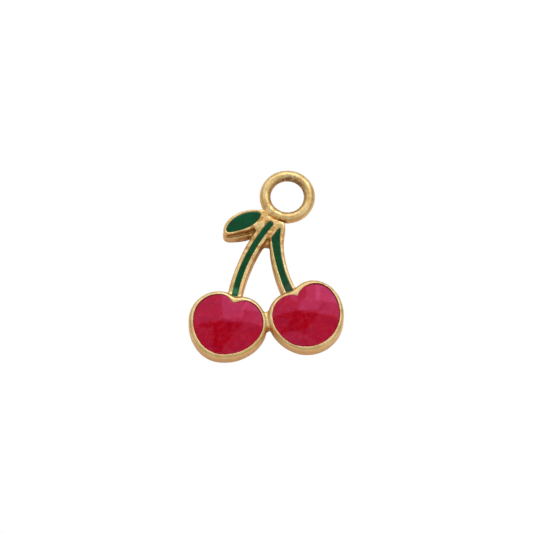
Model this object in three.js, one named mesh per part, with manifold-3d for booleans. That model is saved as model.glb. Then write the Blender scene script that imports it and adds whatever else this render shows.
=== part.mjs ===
// Enamelled cherry charm: a cast metal body with five enamel fills and a soldered hanging ring.
//
// Millimetres, +Z up. The charm lies on its flat back: the back is z = 0, the enamelled front looks up +Z,
// and +Y runs from the cherries to the hanging ring. The outlines are drawn in the design frame, where
// x = 0 passes through the ring and y = 0 is the lowest point of the left cherry. The finished group is
// then moved so that its origin is the bottom centre of its bounding box.

import * as THREE from "three";
import { mergeVertices } from "three/addons/utils/BufferGeometryUtils.js";
import Module from "manifold-3d";

// ---------------------------------------------------------------- driving dimensions (mm)

const RING_WIRE = 0.94; // diameter of the ring's round wire
const RING_MEAN_DIAMETER = 3.54; // across the wire's centreline
const RING_CENTRE = new THREE.Vector3(-0.04, 14.6, 0.75);

const CHERRY_HEIGHT = 1.65; // top of the raised rims round the cherries
const LEAF_HEIGHT = 1.5;
const STEM_HEIGHT = 1.4;
const SHOULDER_HEIGHT = STEM_HEIGHT + 0.03; // a touch proud of the stems
const LEDGE_HEIGHT = 1.05; // step under the leaf's lower edge
const WEB_HEIGHT = 0.95; // low metal left in the fork of the stems
const CHERRY_WEB_HEIGHT = 1.45; // metal that joins the cherries where they touch
const LEAF_UNDERSIDE = 0.2; // the leaf's own plate starts here, inside the ledge
const SEAT_UNDERSIDE = 0.25;
const SEAT_BELOW_RING = 0.1; // the seat's top lies this far under the top of the ring
const EDGE_ROUND = 0.16; // rounding of the casting's outer edges
const CHERRY_ROUND = 0.3; // the cherries' edges are rounder
const LEAF_ROUND = 0.1; // and the leaf's are crisper

const STEM_WIDTH = 1.2;
const STEM_CELL_WIDTH = 0.44; // enamel cell along the left stem

const CELL_DEPTH = 0.55; // from a rim's top down to the cell's floor
const ENAMEL_BELOW_RIM = 0.14; // the enamel's edge lies this far under the rim
const CHERRY_CROWN = 0.28; // rise of a cherry's enamel from its edge to its middle
const CROWN_RADIUS = 3.05; // from the middle to where the crown has fallen by its whole height
const ENAMEL_GAP = 0.02; // clearance round each fill, so that no two solids overlap
const RING_GAP = 0.02; // clearance of the ring in its seat

const CURVE_STEPS = 9; // straight steps along each curve of an outline
const STRIP_STEPS = 22; // straight steps along a stem
const ROUND_STEPS = 2; // facets across a rounded edge

// ---------------------------------------------------------------- outlines

// A closed outline from its start point and cubic curves, each [control, control, end].
function outline(start, ...curves) {
  const shape = new THREE.Shape();
  shape.moveTo(...start);
  for (const [a, b, end] of curves) {
    shape.bezierCurveTo(...a, ...b, ...end);
  }
  return shape;
}

const CHERRIES = {
  left: {
    middle: [-2.95, 2.95],
    outer: outline(
      [-2.7, 5.39],
      [[-2.5, 5.37], [-2.25, 5.52], [-1.95, 5.52]],
      [[-0.85, 5.52], [0.2, 4.4], [0.2, 3.15]],
      [[0.2, 1.55], [-1.4, 0.03], [-3.32, 0.03]],
      [[-4.85, 0.03], [-6.13, 1.55], [-6.13, 3.25]],
      [[-6.13, 4.6], [-5.0, 5.68], [-3.75, 5.68]],
      [[-3.3, 5.68], [-3.0, 5.44], [-2.7, 5.39]],
    ),
    cell: outline(
      [-2.74, 4.79],
      [[-2.5, 4.82], [-2.25, 5.1], [-1.75, 5.1]],
      [[-0.95, 5.1], [-0.13, 4.25], [-0.13, 3.15]],
      [[-0.13, 1.75], [-1.6, 0.385], [-3.3, 0.385]],
      [[-4.6, 0.385], [-5.73, 1.75], [-5.73, 3.3]],
      [[-5.73, 4.45], [-4.85, 5.32], [-3.75, 5.32]],
      [[-3.2, 5.32], [-3.0, 4.8], [-2.74, 4.79]],
    ),
  },
  right: {
    middle: [3.1, 4.75],
    outer: outline(
      [1.3, 6.44],
      [[1.6, 6.58], [1.8, 6.84], [2.05, 7.12]],
      [[2.4, 7.55], [2.9, 7.82], [3.5, 7.82]],
      [[5.05, 7.82], [6.14, 6.3], [6.14, 4.75]],
      [[6.14, 2.95], [4.7, 1.76], [3.23, 1.76]],
      [[1.65, 1.76], [0.05, 3.1], [0.05, 4.5]],
      [[0.05, 5.4], [0.6, 6.17], [1.3, 6.44]],
    ),
    cell: outline(
      [2.2, 6.2],
      [[2.3, 6.95], [2.95, 7.5], [3.75, 7.5]],
      [[4.85, 7.5], [5.78, 6.1], [5.78, 4.8]],
      [[5.78, 3.1], [4.4, 2.08], [3.05, 2.08]],
      [[1.75, 2.08], [0.45, 3.35], [0.45, 4.5]],
      [[0.45, 5.6], [1.25, 6.3], [2.2, 6.2]],
    ),
  },
};

const STEM_LINES = {
  left: bezier([-2.8, 5.0], [-2.84, 7.6], [-2.02, 10.2], [-1.0, 12.0]),
  right: bezier([1.75, 6.1], [0.75, 7.4], [-0.4, 9.6], [-0.31, 11.75]),
};

// The left stem's cell starts above the cherry's rim, keeps to the stem's outer side and has a round end.
const LEFT_STEM_CELL = strip(
  bezier([-2.79, 5.46], [-2.8, 7.9], [-1.99, 10.18], [-0.98, 11.9]),
  STEM_CELL_WIDTH,
  true,
);

const RIGHT_STEM_CELL = outline(
  [-0.12, 11.85],
  [[-0.12, 10.4], [0.5, 8.2], [1.72, 6.72]],
  [[1.6, 6.6], [1.4, 6.5], [1.2, 6.46]],
  [[0.75, 7.1], [-0.3, 9.2], [-0.68, 10.78]],
  [[-0.5, 11.15], [-0.3, 11.5], [-0.12, 11.85]],
);

const LEAF = {
  outer: outline(
    [-4.64, 10.85],
    [[-4.64, 11.9], [-3.35, 12.9], [-2.1, 12.92]],
    [[-1.6, 12.6], [-1.6, 11.9], [-1.9, 11.5]],
    [[-2.2, 11.25], [-3.1, 10.8], [-3.9, 10.47]],
    [[-4.3, 10.3], [-4.64, 10.45], [-4.64, 10.85]],
  ),
  cell: outline(
    [-4.37, 10.9],
    [[-4.25, 11.95], [-3.0, 12.7], [-2.1, 12.71]],
    [[-1.87, 12.7], [-1.8, 12.55], [-1.89, 12.28]],
    [[-2.2, 11.55], [-2.85, 11.13], [-3.5, 10.88]],
    [[-4.0, 10.66], [-4.4, 10.5], [-4.37, 10.9]],
  ),
};

// The broad end of the casting, where the leaf and both stems meet under the ring.
const SHOULDER = outline(
  [-2.3, 12.88],
  [[-2.0, 12.95], [-1.9, 13.08], [-1.65, 13.08]],
  [[-1.35, 13.08], [-1.3, 12.5], [-0.75, 12.4]],
  [[-0.55, 12.35], [-0.2, 12.32], [0.0, 12.28]],
  [[0.24, 12.22], [0.28, 12.0], [0.26, 11.6]],
  [[0.2, 10.95], [-0.4, 10.72], [-0.95, 10.72]],
  [[-1.4, 10.74], [-1.9, 10.95], [-2.15, 11.35]],
  [[-2.4, 11.8], [-2.4, 12.5], [-2.3, 12.88]],
);

// Lower metal: the ledge under the leaf, and webs in the fork of the stems and between the cherries.
const LEAF_LEDGE = outline(
  [-4.64, 10.7],
  [[-4.64, 11.9], [-3.35, 12.9], [-2.1, 12.92]],
  [[-1.6, 12.6], [-1.6, 11.9], [-1.9, 11.3]],
  [[-2.2, 10.6], [-3.1, 10.4], [-3.9, 10.22]],
  [[-4.3, 10.1], [-4.64, 10.3], [-4.64, 10.7]],
);

const FORK_WEB = outline(
  [-1.5, 10.6],
  [[-1.25, 10.05], [-0.85, 10.05], [-0.55, 10.5]],
  [[-0.5, 11.1], [-0.8, 11.3], [-1.0, 11.3]],
  [[-1.3, 11.3], [-1.6, 11.1], [-1.5, 10.6]],
);
const CHERRY_WEB = new THREE.Shape().absellipse(0.06, 3.88, 0.42, 0.76, 0, 2 * Math.PI);

// The sector under the ring that its wire is soldered to.
const SEAT = { inner: 2.02, outer: 2.9, from: -139, to: -86 };

function bezier(...points) {
  return new THREE.CubicBezierCurve(...points.map((p) => new THREE.Vector2(...p)));
}

// A strip of even width along a curve. Its far end can be round.
function strip(line, width, roundEnd = false) {
  const half = width / 2;
  const side = (t, sign) => {
    const along = line.getTangent(t);
    return line.getPoint(t).add(new THREE.Vector2(-along.y, along.x).multiplyScalar(sign * half));
  };
  const points = [];
  for (let i = 0; i <= STRIP_STEPS; i++) {
    points.push(side(i / STRIP_STEPS, 1));
  }
  if (roundEnd) {
    const end = line.getPoint(1);
    const start = side(1, 1).sub(end).angle();
    for (let i = 1; i < CURVE_STEPS; i++) {
      const angle = start - (Math.PI * i) / CURVE_STEPS;
      points.push(new THREE.Vector2(Math.cos(angle), Math.sin(angle)).multiplyScalar(half).add(end));
    }
  }
  for (let i = STRIP_STEPS; i >= 0; i--) {
    points.push(side(i / STRIP_STEPS, -1));
  }
  return new THREE.Shape(points);
}

function seatShape() {
  const { inner, outer } = SEAT;
  const [from, to] = [SEAT.from, SEAT.to].map(THREE.MathUtils.degToRad);
  const shape = new THREE.Shape();
  shape.absarc(RING_CENTRE.x, RING_CENTRE.y, outer, from, to, false);
  shape.absarc(RING_CENTRE.x, RING_CENTRE.y, inner, to, from, true);
  return shape;
}

// ---------------------------------------------------------------- solids

const wasm = await Module();
wasm.setup();

function solid(geometry) {
  const plain = geometry.clone();
  plain.deleteAttribute("normal");
  plain.deleteAttribute("uv");
  const merged = mergeVertices(plain, 1e-4);
  return new wasm.Manifold(
    new wasm.Mesh({
      numProp: 3,
      vertProperties: merged.attributes.position.array,
      triVerts: new Uint32Array(merged.index.array),
    }),
  );
}

function geometryOf(made) {
  const mesh = made.getMesh();
  const geometry = new THREE.BufferGeometry();
  geometry.setAttribute("position", new THREE.BufferAttribute(mesh.vertProperties, 3));
  geometry.setIndex(new THREE.BufferAttribute(mesh.triVerts, 1));
  geometry.computeVertexNormals();
  return geometry;
}

// A plate with rounded top and bottom edges, inside its outline.
function roundedPlate(shape, bottom, top, round = EDGE_ROUND) {
  const geometry = new THREE.ExtrudeGeometry(shape, {
    depth: top - bottom - 2 * round,
    curveSegments: CURVE_STEPS,
    bevelEnabled: true,
    bevelThickness: round,
    bevelSize: round,
    bevelOffset: -round,
    bevelSegments: ROUND_STEPS,
  });
  return solid(geometry.translate(0, 0, bottom + round));
}

// A plate with square edges, its outline moved out by the given distance.
function squarePlate(shape, bottom, top, grow = 0) {
  const geometry = new THREE.ExtrudeGeometry(shape, {
    depth: top - bottom,
    curveSegments: CURVE_STEPS,
    bevelEnabled: true,
    bevelThickness: 0,
    bevelSize: 0,
    bevelOffset: grow,
    bevelSegments: 0,
  });
  return solid(geometry.translate(0, 0, bottom));
}

function ringGeometry(wire) {
  const aroundWire = 14;
  const aroundRing = 48;
  return new THREE.TorusGeometry(RING_MEAN_DIAMETER / 2, wire / 2, aroundWire, aroundRing).translate(
    ...RING_CENTRE.toArray(),
  );
}

// Every enamel cell: its outline, the height of the rim round it and, on a cherry, the middle of its crown.
const CELLS = {
  left_cherry_enamel: { shape: CHERRIES.left.cell, rim: CHERRY_HEIGHT, middle: CHERRIES.left.middle },
  right_cherry_enamel: { shape: CHERRIES.right.cell, rim: CHERRY_HEIGHT, middle: CHERRIES.right.middle },
  left_stem_enamel: { shape: LEFT_STEM_CELL, rim: STEM_HEIGHT },
  right_stem_enamel: { shape: RIGHT_STEM_CELL, rim: STEM_HEIGHT },
  leaf_enamel: { shape: LEAF.cell, rim: LEAF_HEIGHT },
};

function castingSolid() {
  const seatTop = RING_CENTRE.z + RING_WIRE / 2 - SEAT_BELOW_RING;
  const plates = [
    roundedPlate(CHERRIES.left.outer, 0, CHERRY_HEIGHT, CHERRY_ROUND),
    roundedPlate(CHERRIES.right.outer, 0, CHERRY_HEIGHT, CHERRY_ROUND),
    roundedPlate(strip(STEM_LINES.left, STEM_WIDTH), 0, STEM_HEIGHT),
    roundedPlate(strip(STEM_LINES.right, STEM_WIDTH), 0, STEM_HEIGHT),
    roundedPlate(LEAF.outer, LEAF_UNDERSIDE, LEAF_HEIGHT, LEAF_ROUND),
    roundedPlate(LEAF_LEDGE, 0, LEDGE_HEIGHT, LEAF_ROUND),
    roundedPlate(SHOULDER, 0, SHOULDER_HEIGHT),
    roundedPlate(FORK_WEB, 0, WEB_HEIGHT),
    roundedPlate(CHERRY_WEB, 0, CHERRY_WEB_HEIGHT),
    squarePlate(seatShape(), SEAT_UNDERSIDE, seatTop),
  ];
  let casting = plates.reduce((whole, plate) => whole.add(plate));
  for (const { shape, rim } of Object.values(CELLS)) {
    casting = casting.subtract(squarePlate(shape, rim - CELL_DEPTH, rim + 1));
  }
  return casting.subtract(solid(ringGeometry(RING_WIRE + 2 * RING_GAP)));
}

// A solid with a gently crowned top, wide enough to cut a cherry's fill from.
function crown(middle, top, bottom) {
  const reach = 4.2;
  const rings = 9;
  const profile = [new THREE.Vector2(0, bottom), new THREE.Vector2(reach, bottom)];
  for (let i = rings; i >= 0; i--) {
    const radius = (reach * i) / rings;
    profile.push(new THREE.Vector2(radius, top - CHERRY_CROWN * (radius / CROWN_RADIUS) ** 2));
  }
  const turned = new THREE.LatheGeometry(profile, 40).rotateX(Math.PI / 2);
  return solid(turned.translate(middle[0], middle[1], 0));
}

function enamelSolid({ shape, rim, middle }) {
  const floor = rim - CELL_DEPTH + ENAMEL_GAP;
  const edge = rim - ENAMEL_BELOW_RIM;
  if (!middle) {
    return squarePlate(shape, floor, edge, -ENAMEL_GAP);
  }
  const top = edge + CHERRY_CROWN;
  return squarePlate(shape, floor, top + 0.5, -ENAMEL_GAP).intersect(crown(middle, top, floor - 0.5));
}

// ---------------------------------------------------------------- the charm

const GOLD = new THREE.MeshStandardMaterial({ color: 0xd9b36c, roughness: 0.28, metalness: 1 });
const RED_ENAMEL = new THREE.MeshStandardMaterial({ color: 0xa60c2c, roughness: 0.12, metalness: 0 });
const GREEN_ENAMEL = new THREE.MeshStandardMaterial({ color: 0x14522f, roughness: 0.15, metalness: 0 });

function piece(name, geometry, material) {
  const mesh = new THREE.Mesh(geometry, material);
  mesh.name = name;
  return mesh;
}

const charm = new THREE.Group();
charm.add(piece("charm_body", geometryOf(castingSolid()), GOLD));
charm.add(piece("hanging_ring", geometryOf(solid(ringGeometry(RING_WIRE))), GOLD));
for (const [name, cell] of Object.entries(CELLS)) {
  charm.add(piece(name, geometryOf(enamelSolid(cell)), cell.middle ? RED_ENAMEL : GREEN_ENAMEL));
}

const bounds = new THREE.Box3().setFromObject(charm);
const centre = bounds.getCenter(new THREE.Vector3());
for (const mesh of charm.children) {
  mesh.position.set(-centre.x, -centre.y, -bounds.min.z);
}

export default charm;
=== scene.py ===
"""Enamelled cherry charm: a gold casting with rims, stems and a leaf, five enamel fills and a hanging ring.

The pieces are drawn in millimetres, at a thousand times their size, on the charm's own axes: the back is
z = 0, x = 0 passes through the ring and y = 0 lies just under the left cherry. settle() then brings each
finished piece down to its real size and place.
"""

import math

import bmesh
import bpy
from mathutils import Matrix, Vector


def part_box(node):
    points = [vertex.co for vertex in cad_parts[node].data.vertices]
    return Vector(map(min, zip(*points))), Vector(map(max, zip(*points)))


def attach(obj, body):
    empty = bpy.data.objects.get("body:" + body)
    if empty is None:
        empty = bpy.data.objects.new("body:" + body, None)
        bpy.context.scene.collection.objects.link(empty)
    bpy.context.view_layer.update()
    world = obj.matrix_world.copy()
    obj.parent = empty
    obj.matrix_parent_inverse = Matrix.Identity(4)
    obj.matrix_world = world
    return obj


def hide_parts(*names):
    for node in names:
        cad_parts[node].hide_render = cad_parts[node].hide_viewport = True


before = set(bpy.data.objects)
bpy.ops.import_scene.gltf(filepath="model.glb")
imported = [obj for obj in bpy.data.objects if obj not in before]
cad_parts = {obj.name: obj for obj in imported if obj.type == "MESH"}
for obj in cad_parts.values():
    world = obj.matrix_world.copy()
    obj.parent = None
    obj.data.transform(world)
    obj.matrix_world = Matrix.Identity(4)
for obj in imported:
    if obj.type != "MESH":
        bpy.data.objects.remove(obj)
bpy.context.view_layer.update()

MM = 0.001

# ---------------------------------------------------------------- sizes (mm)

body_low, body_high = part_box("charm_body")
ring_low, ring_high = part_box("hanging_ring")
LEFTMOST = -6.13  # the left cherry's side, on the charm's own axes
LOWEST = 0.03  # and its underside
PLACE = Vector((body_low.x / MM - LEFTMOST, body_low.y / MM - LOWEST, 0))

RING_WIRE = (ring_high.z - ring_low.z) / MM
RING_RADIUS = (ring_high.x - ring_low.x) / MM / 2 - RING_WIRE / 2
RING_CENTRE = (ring_low + ring_high) / 2 / MM - PLACE

# The collar is the length of the ring's wire that is soldered to the shoulder.
COLLAR_PROUD = 0.015  # how much thicker it is all round than the wire
COLLAR_MIDDLE = Vector((-0.62, -1.2, 0))  # from the ring's middle
COLLAR_REACH = 1.25
COLLAR_ENDS = (-0.95, 0.31, 0), (0.35, -0.1, 0)  # the way to each end
COLLAR_TOP = Vector((0, -0.9, 0))  # from the ring's middle

CHERRY_TOP = (body_high.z - body_low.z) / MM
LEAF_TOP = 1.5
STEM_TOP = 1.4
LEAF_FOOT = 0.3  # the leaf's plate starts inside the ledge
LEDGE_TOP = 1.05  # step under the leaf's lower edge
SHOULDER_TOP = STEM_TOP + 0.03
FORK_WEB_TOP = 0.95
CHERRY_WEB_TOP = 1.45

# How far the edges of each plate are rounded.
CHERRY_EDGE = 0.34
STEM_EDGE = 0.2
LEDGE_EDGE = 0.1
LEAF_EDGE = 0.08
SHOULDER_EDGE = 0.1
WEB_EDGE = 0.16

STEM_WIDTH = 1.2
STEM_CELL_WIDTH = 0.44
CELL_DEPTH = 0.5
SEAM_WIDTH = 0.14
SEAM_DEPTH = 0.12
PUNCH_TOP = 3  # the cutters reach well above the charm
PUNCH_EDGE = 0.01

# The red fills.
ENAMEL_BELOW_RIM = 0.14
ENAMEL_DEPTH = 0.3
CHERRY_CROWN = 0.28
CROWN_RADIUS = 3.05
SLAB_SIZE = 7.2
SLAB_SQUARES = 72
SLAB_DEPTH = 0.9
BITE = 0.03  # how far the enamel reaches into the metal round it

# The green fills.
GREEN_BELOW_RIM = 0.07
GREEN_DEPTH = 0.45  # from the rim to their underside
GREEN_EDGE = 0.06
GREEN_BITE = BITE + 0.05

# Skins: the size of their squares and how often they are smoothed.
ROUGH_SKIN = 0.07, 2
CASTING_SKIN = 0.045, 8
RED_SKIN = 0.045, 5
GREEN_SKIN = 0.035, 6
CASTING_KEPT = 0.4  # share of the casting's faces kept when its flat stretches are thinned out

# Soft hollows: how far apart and how deep.
CASTING_DENTS = 0.9, 0.03
RING_DENTS = 0.8, 0.03

# ---------------------------------------------------------------- outlines

# Each outline is its start point and its curves: [first handle, second handle, end]. It has four curves or
# more, so the fork's web, which needs three, ends in one of no length.
LEFT_CHERRY = ((-2.7, 5.39), [
    [(-2.5, 5.37), (-2.25, 5.52), (-1.95, 5.52)],
    [(-0.85, 5.52), (0.2, 4.4), (0.2, 3.15)],
    [(0.2, 1.55), (-1.4, 0.03), (-3.32, 0.03)],
    [(-4.85, 0.03), (-6.13, 1.55), (-6.13, 3.25)],
    [(-6.13, 4.6), (-5.0, 5.68), (-3.75, 5.68)],
    [(-3.3, 5.68), (-3.0, 5.44), (-2.7, 5.39)],
])
LEFT_CELL = ((-2.74, 4.79), [
    [(-2.5, 4.82), (-2.25, 5.1), (-1.75, 5.1)],
    [(-0.95, 5.1), (-0.13, 4.25), (-0.13, 3.15)],
    [(-0.13, 1.75), (-1.6, 0.385), (-3.3, 0.385)],
    [(-4.6, 0.385), (-5.73, 1.75), (-5.73, 3.3)],
    [(-5.73, 4.45), (-4.85, 5.32), (-3.75, 5.32)],
    [(-3.2, 5.32), (-3.0, 4.8), (-2.74, 4.79)],
])
RIGHT_CHERRY = ((1.3, 6.44), [
    [(1.6, 6.58), (1.8, 6.84), (2.05, 7.12)],
    [(2.4, 7.55), (2.9, 7.82), (3.5, 7.82)],
    [(5.05, 7.82), (6.14, 6.3), (6.14, 4.75)],
    [(6.14, 2.95), (4.7, 1.76), (3.23, 1.76)],
    [(1.65, 1.76), (0.05, 3.1), (0.05, 4.5)],
    [(0.05, 5.4), (0.6, 6.17), (1.3, 6.44)],
])
RIGHT_CELL = ((2.2, 6.2), [
    [(2.3, 6.95), (2.95, 7.5), (3.75, 7.5)],
    [(4.85, 7.5), (5.78, 6.1), (5.78, 4.8)],
    [(5.78, 3.1), (4.4, 2.08), (3.05, 2.08)],
    [(1.75, 2.08), (0.45, 3.35), (0.45, 4.5)],
    [(0.45, 5.6), (1.25, 6.3), (2.2, 6.2)],
])
RIGHT_STEM_CELL = ((-0.12, 11.85), [
    [(-0.12, 10.4), (0.5, 8.2), (1.72, 6.72)],
    [(1.6, 6.6), (1.4, 6.5), (1.2, 6.46)],
    [(0.75, 7.1), (-0.3, 9.2), (-0.68, 10.78)],
    [(-0.5, 11.15), (-0.3, 11.5), (-0.12, 11.85)],
])
LEAF = ((-4.64, 10.85), [
    [(-4.64, 11.9), (-3.35, 12.9), (-2.1, 12.92)],
    [(-1.6, 12.6), (-1.6, 11.9), (-1.9, 11.5)],
    [(-2.2, 11.25), (-3.1, 10.8), (-3.9, 10.47)],
    [(-4.3, 10.3), (-4.64, 10.45), (-4.64, 10.85)],
])
LEAF_LEDGE = ((-4.64, 10.7), [
    [(-4.64, 11.9), (-3.35, 12.9), (-2.1, 12.92)],
    [(-1.6, 12.6), (-1.6, 11.9), (-1.9, 11.3)],
    [(-2.2, 10.6), (-3.1, 10.4), (-3.9, 10.22)],
    [(-4.3, 10.1), (-4.64, 10.3), (-4.64, 10.7)],
])
LEAF_CELL = ((-4.37, 10.9), [
    [(-4.25, 11.95), (-3.0, 12.7), (-2.1, 12.71)],
    [(-1.87, 12.7), (-1.8, 12.55), (-1.89, 12.28)],
    [(-2.2, 11.55), (-2.85, 11.13), (-3.5, 10.88)],
    [(-4.0, 10.66), (-4.4, 10.5), (-4.37, 10.9)],
])
SHOULDER = ((-2.3, 12.88), [
    [(-2.0, 12.95), (-1.9, 13.08), (-1.65, 13.08)],
    [(-1.35, 13.08), (-1.3, 12.5), (-0.75, 12.4)],
    [(-0.55, 12.35), (-0.2, 12.32), (0.0, 12.28)],
    [(0.24, 12.22), (0.28, 12.0), (0.26, 11.6)],
    [(0.2, 10.95), (-0.4, 10.72), (-0.95, 10.72)],
    [(-1.4, 10.74), (-1.9, 10.95), (-2.15, 11.35)],
    [(-2.4, 11.8), (-2.4, 12.5), (-2.3, 12.88)],
])
FORK_WEB = ((-1.5, 10.6), [
    [(-1.25, 10.05), (-0.85, 10.05), (-0.55, 10.5)],
    [(-0.5, 11.1), (-0.8, 11.3), (-1.0, 11.3)],
    [(-1.3, 11.3), (-1.6, 11.1), (-1.5, 10.6)],
    [(-1.5, 10.6), (-1.5, 10.6), (-1.5, 10.6)],
])
CHERRY_WEB = ((-0.36, 3.88), [
    [(-0.36, 4.3), (-0.17, 4.64), (0.06, 4.64)],
    [(0.29, 4.64), (0.48, 4.3), (0.48, 3.88)],
    [(0.48, 3.46), (0.29, 3.12), (0.06, 3.12)],
    [(-0.17, 3.12), (-0.36, 3.46), (-0.36, 3.88)],
])
LEFT_STEM_LINE = [(-2.8, 5.0), (-2.84, 7.6), (-2.02, 10.2), (-1.0, 12.0)]
RIGHT_STEM_LINE = [(1.75, 6.1), (0.75, 7.4), (-0.4, 9.6), (-0.31, 11.75)]
LEFT_STEM_CELL_LINE = [(-2.79, 5.46), (-2.8, 7.9), (-1.99, 10.18), (-0.98, 11.9)]
LEAF_SEAM = [(-4.3, 10.33), (-3.6, 10.52), (-2.95, 10.79), (-2.32, 11.13)]


def strip(line, width, round_end=False):
    """The outline of a strip of even width along one curve, given by its two ends and two handles."""
    points = [Vector(p) for p in line]
    before = [points[0], *points[:-1]]
    after = [*points[1:], points[-1]]
    sides = []
    for a, b in zip(before, after):
        along = (b - a).normalized()
        sides.append(Vector((-along.y, along.x)) * width / 2)
    left = [p + s for p, s in zip(points, sides)]
    right = [p - s for p, s in zip(points, sides)]
    ahead = (points[3] - points[2]).normalized() * (width * 2 / 3 if round_end else 0)
    return left[0], [
        [left[1], left[2], left[3]],
        [left[3] + ahead, right[3] + ahead, right[3]],
        [right[2], right[1], right[0]],
        [right[0], left[0], left[0]],
    ]


LEFT_STEM_CELL = strip(LEFT_STEM_CELL_LINE, STEM_CELL_WIDTH, round_end=True)

# The middle of each cherry's crown, and where its enamel sank: the place, how far and how wide.
LEFT_CROWN = (-3.0, 2.65), [((-2.74, 5.0), -0.04, 1.0)]
RIGHT_CROWN = (3.05, 4.45), [((2.2, 6.5), -0.04, 1.0), ((2.6, 1.6), -0.15, 2.3)]

# ---------------------------------------------------------------- workshop


def pick(*pieces):
    """Leaves edit mode and selects these pieces only; the last one is active."""
    if bpy.context.object and bpy.context.object.mode != "OBJECT":
        bpy.ops.object.mode_set(mode="OBJECT")
    bpy.ops.object.select_all(action="DESELECT")
    for piece in pieces:
        piece.select_set(True)
        bpy.context.view_layer.objects.active = piece


def edit(piece, mode="VERT"):
    pick(piece)
    bpy.ops.object.mode_set(mode="EDIT")
    bpy.ops.mesh.select_mode(type=mode)


def done():
    bpy.ops.object.mode_set(mode="OBJECT")


def use(piece, kind, **settings):
    """Adds a modifier, sets it up and applies it."""
    pick(piece)
    modifier = piece.modifiers.new(kind.title(), kind)
    for name, value in settings.items():
        setattr(modifier, name, value)
    bpy.ops.object.modifier_apply(modifier=modifier.name)


def join(name, pieces):
    pick(*pieces)
    bpy.ops.object.join()
    joined = bpy.context.object
    joined.name = joined.data.name = name
    return joined


def cut(piece, other, operation):
    use(piece, "BOOLEAN", object=other, operation=operation, solver="EXACT")
    bpy.data.objects.remove(other)


def plate(outline, bottom, top, edge, grow=0.0):
    """A plate cut to an outline, with its upper and lower edges rounded."""
    start, curves = outline
    pick()
    bpy.ops.curve.primitive_bezier_circle_add(radius=1)
    drawn = bpy.context.object
    points = drawn.data.splines[0].bezier_points
    if len(curves) > len(points):
        points.add(len(curves) - len(points))
    for i, point in enumerate(points):
        point.handle_left_type = point.handle_right_type = "FREE"
        point.co = (*(curves[i - 1][2] if i else start), 0)
        point.handle_left = (*curves[i - 1][1], 0)
        point.handle_right = (*curves[i][0], 0)
    shape = drawn.data
    shape.dimensions = "2D"
    shape.fill_mode = "BOTH"
    shape.resolution_u = 14
    shape.extrude = (top - bottom) / 2 - edge
    shape.bevel_depth = edge
    shape.bevel_resolution = 4
    shape.offset = grow - edge
    drawn.location.z = (top + bottom) / 2
    bpy.ops.object.convert(target="MESH")
    bpy.ops.object.transform_apply()
    edit(drawn)
    bpy.ops.mesh.select_all(action="SELECT")
    bpy.ops.mesh.remove_doubles(threshold=0.002)
    bpy.ops.mesh.normals_make_consistent(inside=False)
    done()
    return drawn


def punch(outline, bottom, grow=0.0):
    """A sharp cutter with an outline's shape, from a height upward."""
    return plate(outline, bottom, PUNCH_TOP, PUNCH_EDGE, grow)


def trim(piece, point, past):
    """Cuts off what lies past a point, and closes the cut."""
    edit(piece)
    bpy.ops.mesh.select_all(action="SELECT")
    bpy.ops.mesh.bisect(plane_co=point, plane_no=past, use_fill=True, clear_outer=True)
    done()


def wire_loop(radius, steps_along, steps_round):
    """A closed loop of wire, its own radius given, where the hanging ring goes."""
    pick()
    bpy.ops.mesh.primitive_torus_add(
        location=RING_CENTRE,
        major_radius=RING_RADIUS,
        minor_radius=radius,
        major_segments=steps_along,
        minor_segments=steps_round,
    )
    bpy.ops.object.transform_apply()
    return bpy.context.object


def fuse(piece, voxel, smoothing):
    """Melts joined shapes into one skin and softens their edges, as a casting's are."""
    use(piece, "REMESH", mode="VOXEL", voxel_size=voxel)
    use(piece, "SMOOTH", factor=0.5, iterations=smoothing)


def dent(piece, spread, depth):
    """Wears soft hollows into a surface, never standing proud of it."""
    hollows = bpy.data.textures.new(f"{piece.name} hollows", "CLOUDS")
    hollows.noise_scale = spread
    use(piece, "DISPLACE", texture=hollows, texture_coords="LOCAL", strength=depth, mid_level=1)


def settle(piece, material):
    """Brings a finished piece to its real size and place, smooth shaded."""
    pick(piece)
    piece.location = PLACE * MM
    piece.scale = (MM, MM, MM)
    bpy.ops.object.transform_apply()
    bpy.ops.object.shade_smooth()
    piece.data.materials.clear()
    piece.data.materials.append(material)


# ---------------------------------------------------------------- casting


def collar():
    """The ring's wire where it is soldered to the shoulder, a touch thicker, as part of the casting."""
    made = wire_loop(RING_WIRE / 2 + COLLAR_PROUD, 96, 32)
    for past in COLLAR_ENDS:
        trim(made, RING_CENTRE + COLLAR_MIDDLE + Vector(past) * COLLAR_REACH, past)
    trim(made, RING_CENTRE + COLLAR_TOP, (0, 1, 0))
    return made


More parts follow.
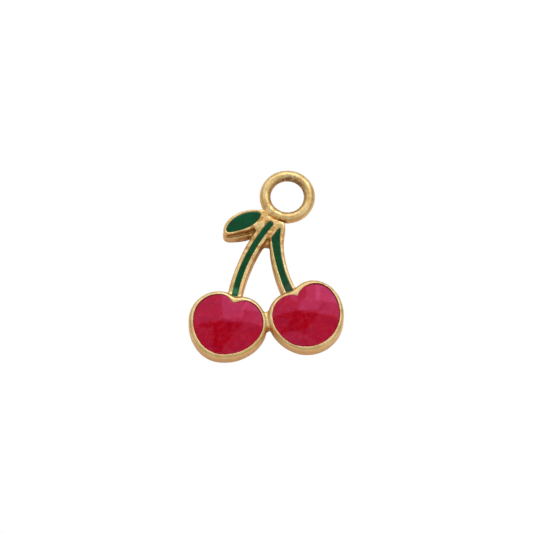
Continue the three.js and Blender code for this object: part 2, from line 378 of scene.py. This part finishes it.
def casting():
    plates = [
        plate(LEFT_CHERRY, 0, CHERRY_TOP, CHERRY_EDGE),
        plate(RIGHT_CHERRY, 0, CHERRY_TOP, CHERRY_EDGE),
        plate(strip(LEFT_STEM_LINE, STEM_WIDTH), 0, STEM_TOP, STEM_EDGE),
        plate(strip(RIGHT_STEM_LINE, STEM_WIDTH), 0, STEM_TOP, STEM_EDGE),
        plate(LEAF_LEDGE, 0, LEDGE_TOP, LEDGE_EDGE),
        plate(LEAF, LEAF_FOOT, LEAF_TOP, LEAF_EDGE),
        plate(SHOULDER, 0, SHOULDER_TOP, SHOULDER_EDGE),
        plate(FORK_WEB, 0, FORK_WEB_TOP, WEB_EDGE),
        plate(CHERRY_WEB, 0, CHERRY_WEB_TOP, WEB_EDGE),
        collar(),
    ]
    body = join("charm_casting", plates)
    fuse(body, *ROUGH_SKIN)
    cells = [
        (LEFT_CELL, CHERRY_TOP),
        (RIGHT_CELL, CHERRY_TOP),
        (LEFT_STEM_CELL, STEM_TOP),
        (RIGHT_STEM_CELL, STEM_TOP),
        (LEAF_CELL, LEAF_TOP),
    ]
    cutters = [punch(cell, rim - CELL_DEPTH) for cell, rim in cells]
    cutters.append(punch(strip(LEAF_SEAM, SEAM_WIDTH), LEDGE_TOP - SEAM_DEPTH))
    cut(body, join("cutters", cutters), "DIFFERENCE")
    fuse(body, *CASTING_SKIN)
    use(body, "DECIMATE", ratio=CASTING_KEPT)
    dent(body, *CASTING_DENTS)
    return body


# ---------------------------------------------------------------- ring


def ring():
    made = wire_loop(RING_WIRE / 2, 160, 56)
    made.name = made.data.name = "ring_wire"
    dent(made, *RING_DENTS)
    return made


# ---------------------------------------------------------------- enamel


def crowned(name, cell, middle, hollows):
    """A cherry's fill: a domed slab trimmed to its cell, sunk a little in a few places as it set."""
    pick()
    edge = CHERRY_TOP - ENAMEL_BELOW_RIM
    bpy.ops.mesh.primitive_grid_add(
        x_subdivisions=SLAB_SQUARES, y_subdivisions=SLAB_SQUARES, size=SLAB_SIZE, location=(*middle, edge)
    )
    slab = bpy.context.object
    slab.name = slab.data.name = name
    bpy.ops.object.transform_apply()
    pull(slab, middle, CHERRY_CROWN, CROWN_RADIUS, "INVERSE_SQUARE")
    for at, rise, reach in hollows:
        pull(slab, at, rise, reach, "SMOOTH")
    edit(slab, "FACE")
    bpy.ops.mesh.select_all(action="SELECT")
    bpy.ops.mesh.extrude_region_move(TRANSFORM_OT_translate={"value": (0, 0, -SLAB_DEPTH)})
    bpy.ops.transform.resize(value=(1, 1, 0), center_override=(0, 0, edge - SLAB_DEPTH / 2))
    bpy.ops.mesh.select_all(action="SELECT")
    bpy.ops.mesh.normals_make_consistent(inside=False)
    done()
    cut(slab, punch(cell, edge - ENAMEL_DEPTH, grow=BITE), "INTERSECT")
    fuse(slab, *RED_SKIN)
    return slab


def pull(slab, at, rise, reach, falloff):
    """Lifts or lowers the point of a slab nearest to a place, and the surface round it with it."""
    edit(slab)
    bpy.ops.mesh.select_all(action="DESELECT")
    mesh = bmesh.from_edit_mesh(slab.data)
    nearest = min(mesh.verts, key=lambda v: (v.co.xy - Vector(at)).length)
    nearest.select = True
    mesh.select_flush(True)
    bmesh.update_edit_mesh(slab.data)
    bpy.ops.transform.translate(
        value=(0, 0, rise),
        use_proportional_edit=True,
        proportional_edit_falloff=falloff,
        proportional_size=reach,
    )
    done()


def pillow(name, cell, rim):
    """A narrow fill, level in the middle and rounded off at its edges."""
    made = plate(cell, rim - GREEN_DEPTH, rim - GREEN_BELOW_RIM, GREEN_EDGE, GREEN_BITE)
    made.name = made.data.name = name
    fuse(made, *GREEN_SKIN)
    return made


# ---------------------------------------------------------------- finishes

GOLD_DEEP = (0.62, 0.41, 0.15)
GOLD_PALE = (0.80, 0.60, 0.28)
# painted light: the warmer gold given to the walls because of the way they face
GOLD_WALL_PAINTED_LIGHT = (0.86, 0.49, 0.18)
GOLD_ROSY = (0.80, 0.45, 0.19)
# rubbed edges: partly real wear, partly a painted highlight along the tops of the rims
GOLD_WEAR_AND_HIGHLIGHT = (0.92, 0.74, 0.46)
TARNISH = (0.46, 0.22, 0.05)
UNPOLISHED = (0.32, 0.19, 0.10)
# painted shade: the dark colour laid into the gold's corners and recesses
CORNER_SHADE_COLOR = (0.10, 0.055, 0.022)

# How strongly each of these shows on the gold, and how high each stands beside its grain.
ROSY_SHARE = 0.7
CORNER_SHADE_SHARE = 0.75
WEAR_AND_HIGHLIGHT_SHARE = 0.6
SCRATCH_HEIGHT = 0.7
PIT_DEPTH = 1.5
LUMP_HEIGHT = 6

TARNISHED = (-1.6, 11.0, 1.2), 1.0, 3.6  # a place, where it starts to fade and where it ends
ROUGH_HOLE = RING_CENTRE + Vector((0.1, 0.45, 0.2)), 1.1, 1.5

RED = {
    "Color": (0.43, 0.0, 0.004),
    "Deep Color": (0.36, 0.0, 0.012),
    "Cloud Color": (0.52, 0.03, 0.05),
    "Speck And Shade Color": (0.10, 0.004, 0.012),
}
RED_GLOSS = (1.0, 0.25, 0.7)
GREEN = {
    "Color": (0.006, 0.09, 0.032),
    "Deep Color": (0.008, 0.05, 0.018),
    "Cloud Color": (0.02, 0.13, 0.06),
    "Speck And Shade Color": (0.01, 0.02, 0.012),
}
GREEN_GLOSS = (0.6, 1.0, 0.8)

# Painted reflections on the green at the feet of the stems: each place, and the colour painted there.
GREEN_PAINTED_REFLECTIONS = [
    ((-2.82, 5.85, 1.3), (0.03, 0.2, 0.09)),
    ((1.35, 6.85, 1.3), (0.045, 0.085, 0.06)),
]
PAINTED_REFLECTION_FADE = 0.12, 0.42
RIM_SHADE_SHARE = 0.85  # how strongly the painted shade shows along the rim
ENAMEL_IOR = 1.6

GOLD_BUMP = 0.00001  # m
ENAMEL_BUMP = 0.000009  # m
BUMP_STRENGTH = 0.5


def build(tree, kind, x, y, **settings):
    """Adds a node. Here and below, x and y are only its place in the node editor."""
    node = tree.nodes.new(kind)
    node.location = (x, y)
    for name, value in settings.items():
        setattr(node, name, value)
    return node


def new_material(name):
    material = bpy.data.materials.new(name)
    material.use_nodes = True
    tree = material.node_tree
    shader = tree.nodes["Principled BSDF"]
    shader.location = (400, 0)
    tree.nodes["Material Output"].location = (700, 0)
    return material, tree, shader


def new_group(name, inputs, outputs):
    """A node group with named sockets, each given with its kind: Color or Float."""
    group = bpy.data.node_groups.new(name, "ShaderNodeTree")
    for sockets, way in ((inputs, "INPUT"), (outputs, "OUTPUT")):
        for socket, kind in sockets.items():
            group.interface.new_socket(socket, in_out=way, socket_type=f"NodeSocket{kind}")
    return group, build(group, "NodeGroupInput", -1400, 400), build(group, "NodeGroupOutput", 500, 0)


def scaled_place(tree, x, y):
    """Where a point is on the piece, in millimetres."""
    place = build(tree, "ShaderNodeTexCoord", x, y)
    scale = build(tree, "ShaderNodeMapping", x + 200, y)
    scale.inputs["Scale"].default_value = (1000, 1000, 1000)
    tree.links.new(place.outputs["Object"], scale.inputs["Vector"])
    return scale.outputs["Vector"]


def noise(tree, x, y, place, scale, detail, roughness=0.5):
    node = build(tree, "ShaderNodeTexNoise", x, y)
    node.inputs["Scale"].default_value = scale
    node.inputs["Detail"].default_value = detail
    node.inputs["Roughness"].default_value = roughness
    tree.links.new(place, node.inputs["Vector"])
    return node.outputs["Fac"]


def ramp(tree, x, y, value, low, high, dark=(0, 0, 0), light=(1, 1, 1)):
    """Turns a value into a colour: dark up to low, light from high on."""
    node = build(tree, "ShaderNodeValToRGB", x, y)
    node.color_ramp.elements[0].position = low
    node.color_ramp.elements[0].color = (*dark, 1)
    node.color_ramp.elements[1].position = high
    node.color_ramp.elements[1].color = (*light, 1)
    tree.links.new(value, node.inputs["Fac"])
    return node.outputs["Color"]


def laid_over(tree, x, y, mask, under, over, kind="MIX"):
    """One colour laid over another where the mask is white. Either may be plain."""
    node = build(tree, "ShaderNodeMix", x, y, data_type="RGBA", blend_type=kind)
    for socket, value in ((0, mask), (6, under), (7, over)):
        if isinstance(value, tuple):
            node.inputs[socket].default_value = (*value, 1)
        elif isinstance(value, float):
            node.inputs[socket].default_value = value
        else:
            tree.links.new(value, node.inputs[socket])
    return node.outputs[2]


def calculate(tree, x, y, operation, first, second, clamp=False):
    """Does one sum on two values. Either may be a plain number."""
    node = build(tree, "ShaderNodeMath", x, y, operation=operation, use_clamp=clamp)
    for socket, value in enumerate((first, second)):
        if isinstance(value, (int, float)):
            node.inputs[socket].default_value = value
        else:
            tree.links.new(value, node.inputs[socket])
    return node.outputs[0]


def times(tree, x, y, first, second):
    return calculate(tree, x, y, "MULTIPLY", first, second)


def bumpy(tree, x, y, height, distance):
    """Turns a height into the dips and rises of a surface."""
    bump = build(tree, "ShaderNodeBump", x, y)
    bump.inputs["Strength"].default_value = BUMP_STRENGTH
    bump.inputs["Distance"].default_value = distance
    tree.links.new(height, bump.inputs["Height"])
    return bump.outputs["Normal"]


def near(tree, x, y, place, spot, inside, outside):
    """White within a distance of a spot on the charm, fading to black further out."""
    apart = build(tree, "ShaderNodeVectorMath", x, y, operation="DISTANCE")
    apart.inputs[1].default_value = Vector(spot) + PLACE
    tree.links.new(place, apart.inputs[0])
    fade = build(tree, "ShaderNodeMapRange", x + 180, y)
    fade.inputs["From Min"].default_value = inside
    fade.inputs["From Max"].default_value = outside
    fade.inputs["To Min"].default_value = 1
    fade.inputs["To Max"].default_value = 0
    tree.links.new(apart.outputs["Value"], fade.inputs["Value"])
    return fade.outputs["Result"]


def painted_corner_shade():
    """Painted shade for corners, on metal and enamel alike: a mask, white where something stands within
    reach, but not along the foot."""
    group, given, result = new_group(
        "painted corner shade", {"Reach": "Float", "Full Below": "Float", "None Above": "Float"}, {"Mask": "Float"}
    )
    link = group.links.new
    shade = build(group, "ShaderNodeAmbientOcclusion", -600, 0, samples=8)
    link(given.outputs["Reach"], shade.inputs["Distance"])
    corner = build(group, "ShaderNodeMapRange", -300, 0)
    link(shade.outputs["AO"], corner.inputs["Value"])
    link(given.outputs["Full Below"], corner.inputs["From Min"])
    link(given.outputs["None Above"], corner.inputs["From Max"])
    corner.inputs["To Min"].default_value = 1
    corner.inputs["To Max"].default_value = 0
    height = build(group, "ShaderNodeSeparateXYZ", -400, -250)
    link(scaled_place(group, -900, -250), height.inputs["Vector"])
    above = calculate(group, -200, -250, "SUBTRACT", height.outputs["Z"], 0.4, clamp=True)
    above = calculate(group, 0, -250, "MULTIPLY", above, 4, clamp=True)
    link(times(group, 250, 0, corner.outputs["Result"], above), result.inputs["Mask"])
    return group


def corner_shade_mask(tree, x, y, corner_shade, reach, low, high):
    """Places the painted corner shade in a material. Its reach is in millimetres."""
    node = build(tree, "ShaderNodeGroup", x, y)
    node.node_tree = corner_shade
    for name, value in (("Reach", reach * MM), ("Full Below", low), ("None Above", high)):
        node.inputs[name].default_value = value
    return node.outputs["Mask"]


def gold_material(corner_shade):
    """Bright plating on a casting: painted light that warms the walls, painted shade in corners, pitted by
    the shoulder.
    """
    material, tree, shader = new_material("gold plated casting")
    link = tree.links.new
    place = scaled_place(tree, -2600, 0)

    cloud = noise(tree, -2200, 500, place, 0.8, 4)
    color = ramp(tree, -1900, 500, cloud, 0.38, 0.6, GOLD_DEEP, GOLD_PALE)

    facing_up = build(tree, "ShaderNodeSeparateXYZ", -2200, 250)
    turned = build(tree, "ShaderNodeTexCoord", -2400, 250)
    link(turned.outputs["Normal"], facing_up.inputs["Vector"])
    # painted light: surfaces that face sideways take the warmer wall gold, standing in for how light falls
    # on the walls
    wall_painted_light = ramp(tree, -1900, 250, facing_up.outputs["Z"], 0.05, 0.75, (1, 1, 1), (0, 0, 0))
    color = laid_over(tree, -1500, 400, wall_painted_light, color, GOLD_WALL_PAINTED_LIGHT)

    rosy = ramp(tree, -1900, 0, noise(tree, -2200, 0, place, 0.7, 3), 0.52, 0.68)
    color = laid_over(tree, -1300, 300, times(tree, -1600, 0, rosy, ROSY_SHARE), color, GOLD_ROSY)

    shoulder = near(tree, -2200, -250, place, *TARNISHED)
    pits = ramp(tree, -1900, -450, noise(tree, -2200, -450, place, 2.4, 3, 0.6), 0.47, 0.58)
    pitted = times(tree, -1600, -300, pits, shoulder)
    color = laid_over(tree, -1100, 200, pitted, color, TARNISH)

    inside = near(tree, -2200, -650, place, *ROUGH_HOLE)
    rough_patches = ramp(tree, -1900, -850, noise(tree, -2200, -850, place, 3.6, 5, 0.65), 0.34, 0.58)
    unpolished = times(tree, -1600, -700, inside, rough_patches)
    color = laid_over(tree, -900, 100, unpolished, color, UNPOLISHED)

    # painted shade: the gold is darkened wherever something stands close by, in corners and recesses
    corner = corner_shade_mask(tree, -2200, -1050, corner_shade, 0.3, 0.3, 0.75)
    color = laid_over(tree, -700, 0, times(tree, -1600, -1050, corner, CORNER_SHADE_SHARE), color, CORNER_SHADE_COLOR)
    # partly real wear, partly a painted highlight: rounded edges that face up are made paler
    form = build(tree, "ShaderNodeNewGeometry", -2200, -1300)
    wear_and_highlight = ramp(tree, -1900, -1300, form.outputs["Pointiness"], 0.51, 0.6)
    wear_and_highlight = calculate(tree, -1750, -1300, "MULTIPLY", wear_and_highlight, facing_up.outputs["Z"], clamp=True)
    color = laid_over(tree, -500, -50, times(tree, -1600, -1300, wear_and_highlight, WEAR_AND_HIGHLIGHT_SHARE), color, GOLD_WEAR_AND_HIGHLIGHT)
    link(color, shader.inputs["Base Color"])

    smears = noise(tree, -2200, 750, place, 2.5, 4)
    dull = ramp(tree, -1900, 750, smears, 0.3, 0.75, (0.3,) * 3, (0.44,) * 3)
    dull = laid_over(tree, -700, 700, pitted, dull, (0.6, 0.6, 0.6))
    dull = laid_over(tree, -500, 700, unpolished, dull, (0.65, 0.65, 0.65))
    link(dull, shader.inputs["Roughness"])

    grain = noise(tree, -2200, -1550, place, 3.5, 3)
    brushed = build(tree, "ShaderNodeMapping", -2400, -1750)
    brushed.inputs["Scale"].default_value = (1.2, 9, 4)
    brushed.inputs["Rotation"].default_value = (0, 0, 0.5)
    link(place, brushed.inputs["Vector"])
    scratches = noise(tree, -2200, -1750, brushed.outputs["Vector"], 1, 3)
    scratches = times(tree, -1800, -1750, scratches, SCRATCH_HEIGHT)
    height = calculate(tree, -1600, -1550, "ADD", grain, scratches)
    sunk = times(tree, -1600, -1900, pitted, PIT_DEPTH)
    height = calculate(tree, -1400, -1550, "SUBTRACT", height, sunk)
    lumps = times(tree, -1600, -2050, inside, noise(tree, -2200, -2050, place, 6, 6, 0.7))
    height = calculate(tree, -1200, -1550, "ADD", height, times(tree, -1400, -2050, lumps, LUMP_HEIGHT))
    link(bumpy(tree, -300, -500, height, GOLD_BUMP), shader.inputs["Normal"])
    shader.inputs["Metallic"].default_value = 1
    return material


def enamel_body():
    """What every fill shares: colour that drifts and clouds, fine specks and a surface not quite level."""
    group, given, result = new_group(
        "enamel body",
        {
            "Color": "Color",
            "Deep Color": "Color",
            "Cloud Color": "Color",
            "Speck And Shade Color": "Color",
            "Clouds": "Float",
            "Specks": "Float",
        },
        {"Color": "Color", "Roughness": "Float", "Height": "Float"},
    )
    link = group.links.new
    place = scaled_place(group, -1800, 0)

    streak = build(group, "ShaderNodeMapping", -1400, 100)
    streak.inputs["Scale"].default_value = (1, 1.9, 1)
    streak.inputs["Rotation"].default_value = (0, 0, 0.6)
    link(place, streak.inputs["Vector"])
    drift = noise(group, -1150, 100, streak.outputs["Vector"], 0.7, 4, 0.55)
    drift = ramp(group, -900, 100, drift, 0.32, 0.7)
    color = laid_over(group, -400, 250, drift, given.outputs["Color"], given.outputs["Deep Color"])

    clouds = ramp(group, -900, 450, noise(group, -1150, 450, place, 2.3, 6, 0.68), 0.46, 0.72)
    clouds = times(group, -600, 450, clouds, given.outputs["Clouds"])
    color = laid_over(group, -300, 350, clouds, color, given.outputs["Cloud Color"])

    cells = build(group, "ShaderNodeTexVoronoi", -1150, -200)
    cells.inputs["Scale"].default_value = 2.1
    link(place, cells.inputs["Vector"])
    speck = ramp(group, -900, -200, cells.outputs["Distance"], 0.04, 0.09, (1, 1, 1), (0, 0, 0))
    speck = times(group, -600, -200, speck, given.outputs["Specks"])
    color = laid_over(group, -200, 150, speck, color, given.outputs["Speck And Shade Color"])
    link(color, result.inputs["Color"])

    fine = noise(group, -1150, -750, place, 7, 4)
    link(ramp(group, -600, -750, fine, 0.35, 0.7, (0.04,) * 3, (0.11,) * 3), result.inputs["Roughness"])
    wave = noise(group, -1150, -1000, place, 1.3, 2)
    ripple = times(group, -600, -1000, fine, 0.04)
    link(calculate(group, -300, -1000, "ADD", wave, ripple), result.inputs["Height"])
    return group


def enamel_material(name, enamel, corner_shade, colors, gloss, clouds, specks, painted_reflections=()):
    """One colour of enamel. The spots are painted reflections: places, each with the colour painted there.
    """
    material, tree, shader = new_material(name)
    link = tree.links.new
    coat = build(tree, "ShaderNodeGroup", -300, 0)
    coat.node_tree = enamel
    for socket, value in colors.items():
        coat.inputs[socket].default_value = (*value, 1)
    coat.inputs["Clouds"].default_value = clouds
    coat.inputs["Specks"].default_value = specks

    # painted shade: the enamel is darkened along its edge, where the metal rim stands close by
    rim = times(tree, -500, -700, corner_shade_mask(tree, -900, -700, corner_shade, 0.24, 0.4, 0.92), RIM_SHADE_SHARE)
    color = laid_over(tree, 0, 150, rim, coat.outputs["Color"], colors["Speck And Shade Color"])
    place = scaled_place(tree, -1300, -400)
    # painted reflections: paler or greyer patches laid on the enamel at the given places
    for i, (spot, shown) in enumerate(painted_reflections):
        patch = near(tree, -900, -400 - 200 * i, place, spot, *PAINTED_REFLECTION_FADE)
        color = laid_over(tree, 100, 200 + 200 * i, patch, color, shown)
    link(color, shader.inputs["Base Color"])
    link(coat.outputs["Roughness"], shader.inputs["Roughness"])
    link(bumpy(tree, 100, -300, coat.outputs["Height"], ENAMEL_BUMP), shader.inputs["Normal"])
    shader.inputs["Specular Tint"].default_value = (*gloss, 1)
    shader.inputs["IOR"].default_value = ENAMEL_IOR
    return material


# ---------------------------------------------------------------- the charm

corner_shade = painted_corner_shade()
gold = gold_material(corner_shade)
enamel = enamel_body()
red = enamel_material("red enamel", enamel, corner_shade, RED, RED_GLOSS, clouds=0.45, specks=0.6)
green = enamel_material(
    "green enamel", enamel, corner_shade, GREEN, GREEN_GLOSS, clouds=0.25, specks=0.2, painted_reflections=GREEN_PAINTED_REFLECTIONS
)

pieces = [
    (casting(), gold, "gold_metal", "charm_body"),
    (ring(), gold, "gold_metal", "hanging_ring"),
    (crowned("left_cherry_fill", LEFT_CELL, *LEFT_CROWN), red, "red_enamel", "left_cherry_enamel"),
    (crowned("right_cherry_fill", RIGHT_CELL, *RIGHT_CROWN), red, "red_enamel", "right_cherry_enamel"),
    (pillow("left_stem_fill", LEFT_STEM_CELL, STEM_TOP), green, "green_enamel", "left_stem_enamel"),
    (pillow("right_stem_fill", RIGHT_STEM_CELL, STEM_TOP), green, "green_enamel", "right_stem_enamel"),
    (pillow("leaf_fill", LEAF_CELL, LEAF_TOP), green, "green_enamel", "leaf_enamel"),
]
for piece, material, slot, node in pieces:
    settle(piece, material)
    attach(piece, "root")
    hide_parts(node)


# ---------------------------------------------------------------- floor, light and camera

FLOOR_SIZE = 1.2  # m
FLOOR_DROP = 0.00002  # m, so that the charm's back and the floor don't share a plane
FLOOR_SHADE = 0.92

CAMERA_AZIMUTH = math.radians(9.45)  # the camera stands this far round to the right
CAMERA_ELEVATION = math.radians(71.6)
CAMERA_AIM = Vector((-0.673, 8.21, CHERRY_TOP))  # mm
LENS = 400
SENSOR = 36
FRAME_WIDTH = 0.04264  # m across, at the aim

TENT_SIDES = (0.45,) * 3
TENT_TOP = (0.08,) * 3

# Each softbox: its place as angles in degrees (right of straight up and back of straight up), its size as
# angles in degrees (across and deep), its brightness, its roll in degrees and its distance in metres.
SOFTBOXES = {
    "left softbox": (-33, -3, 48, 44, 0.48, 0, 0.5),
    "right softbox": (26.5, 2, 50, 60, 0.5, -37, 0.5),
    "back left softbox": (-21, 43, 48, 45, 1.0, 0, 0.5),
    "back right softbox": (26, 43, 46, 45, 1.1, 0, 0.5),
    "back window": (21, 41, 20, 26, 1.5, 0, 0.45),
    "front softbox": (10, -28.5, 90, 60, 0.42, 0, 0.5),
}


def floor():
    pick()
    bpy.ops.mesh.primitive_plane_add(size=FLOOR_SIZE, location=(0, 0, -FLOOR_DROP))
    made = bpy.context.object
    made.name = "floor"
    material, tree, shader = new_material("white floor")
    shader.inputs["Base Color"].default_value = (*(FLOOR_SHADE,) * 3, 1)
    shader.inputs["Roughness"].default_value = 0.9
    glow = build(tree, "ShaderNodeEmission", 400, -500)
    seen = build(tree, "ShaderNodeLightPath", 400, 400)
    mix = build(tree, "ShaderNodeMixShader", 700, 200)
    tree.links.new(seen.outputs["Is Camera Ray"], mix.inputs["Fac"])
    tree.links.new(shader.outputs["BSDF"], mix.inputs[1])
    tree.links.new(glow.outputs["Emission"], mix.inputs[2])
    tree.links.new(mix.outputs["Shader"], tree.nodes["Material Output"].inputs["Surface"])
    made.data.materials.append(material)


def facing(away):
    """The turn that points a lamp's or camera's back along away, with its long side level."""
    across = (Vector((1, 0, 0)) - away * away.x).normalized()
    return Matrix((across, away.cross(across), away)).transposed().to_euler()


def softbox(name, right, back, width, height, radiance, roll, distance):
    """A soft light over the charm, square with the camera but for its roll."""
    away = Vector((math.tan(math.radians(right)), math.tan(math.radians(back)), 1)).normalized()
    away.rotate(Matrix.Rotation(CAMERA_AZIMUTH, 3, "Z"))
    pick()
    bpy.ops.object.light_add(type="AREA", location=away * distance, rotation=facing(away))
    lamp = bpy.context.object
    lamp.name = name
    lamp.rotation_euler.rotate_axis("Z", CAMERA_AZIMUTH + math.radians(roll))
    lamp.data.shape = "RECTANGLE"
    lamp.data.size = 2 * distance * math.tan(math.radians(width / 2))
    lamp.data.size_y = 2 * distance * math.tan(math.radians(height / 2))
    lamp.data.energy = radiance * math.pi * lamp.data.size * lamp.data.size_y


def lights():
    world = bpy.data.worlds.new("studio")
    bpy.context.scene.world = world
    world.use_nodes = True
    tree = world.node_tree
    direction = build(tree, "ShaderNodeTexCoord", -900, 0)
    split = build(tree, "ShaderNodeSeparateXYZ", -700, 0)
    tree.links.new(direction.outputs["Generated"], split.inputs["Vector"])
    tent = ramp(tree, -500, 0, split.outputs["Z"], 0.55, 0.85, TENT_SIDES, TENT_TOP)
    tree.links.new(tent, tree.nodes["Background"].inputs["Color"])
    for name, settings in SOFTBOXES.items():
        softbox(name, *settings)


def facing_level(away):
    """The turn that points a camera's back along away and keeps its sides upright."""
    across = Vector((0, 0, 1)).cross(away).normalized()
    return Matrix((across, away.cross(across), away)).transposed().to_euler()


def camera():
    """Looks down on the charm from in front and a little to the right, through a long lens."""
    away = Vector((
        math.sin(CAMERA_AZIMUTH) * math.cos(CAMERA_ELEVATION),
        -math.cos(CAMERA_AZIMUTH) * math.cos(CAMERA_ELEVATION),
        math.sin(CAMERA_ELEVATION),
    ))
    aim = (CAMERA_AIM + PLACE) * MM
    distance = FRAME_WIDTH * LENS / SENSOR
    pick()
    bpy.ops.object.camera_add(location=aim + away * distance, rotation=facing_level(away))
    made = bpy.context.object
    made.data.lens = LENS
    made.data.sensor_width = SENSOR
    made.data.clip_start = 0.01
    made.data.clip_end = 5
    bpy.context.scene.camera = made


floor()
lights()
camera()
bpy.context.scene.view_settings.view_transform = "Standard"
